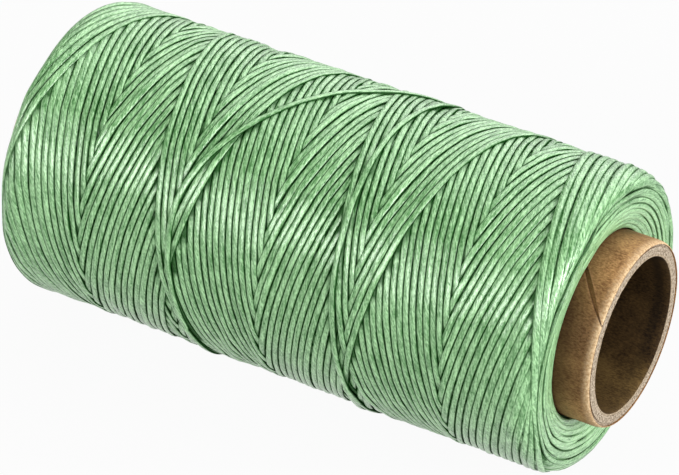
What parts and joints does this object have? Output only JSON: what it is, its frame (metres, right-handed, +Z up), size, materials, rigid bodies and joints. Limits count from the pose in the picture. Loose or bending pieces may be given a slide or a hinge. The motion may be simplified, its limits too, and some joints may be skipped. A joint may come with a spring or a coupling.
{
  "type": "waxed thread spool",
  "caption": "Cross-wound spool of flat waxed thread on a spiral-wound paper tube, which slides over a one-inch spindle.",
  "frame": {"origin": "middle of the tube's bore, halfway along the tube", "axes": "+X along the tube, +Z up with the spool lying on its side, +Y towards the back"},
  "size_m": [0.1064, 0.0496, 0.0496],
  "materials": {
    "liner_paper": "matt dark brown paper",
    "grey_board": "cut grey-brown board",
    "kraft_paper": "matt kraft paper with a faint sheen",
    "waxed_thread": "waxed, soft sheen along the filaments"
  },
  "bodies": {
    "root": {"core_liner": "liner_paper", "core_ply_2": "grey_board", "core_ply_3": "grey_board", "core_ply_4": "grey_board", "core_ply_5": "grey_board", "core_wrap": "kraft_paper", "thread_inner_layers": "waxed_thread", "thread_outer_layer": "waxed_thread"}
  },
  "joints": []
}
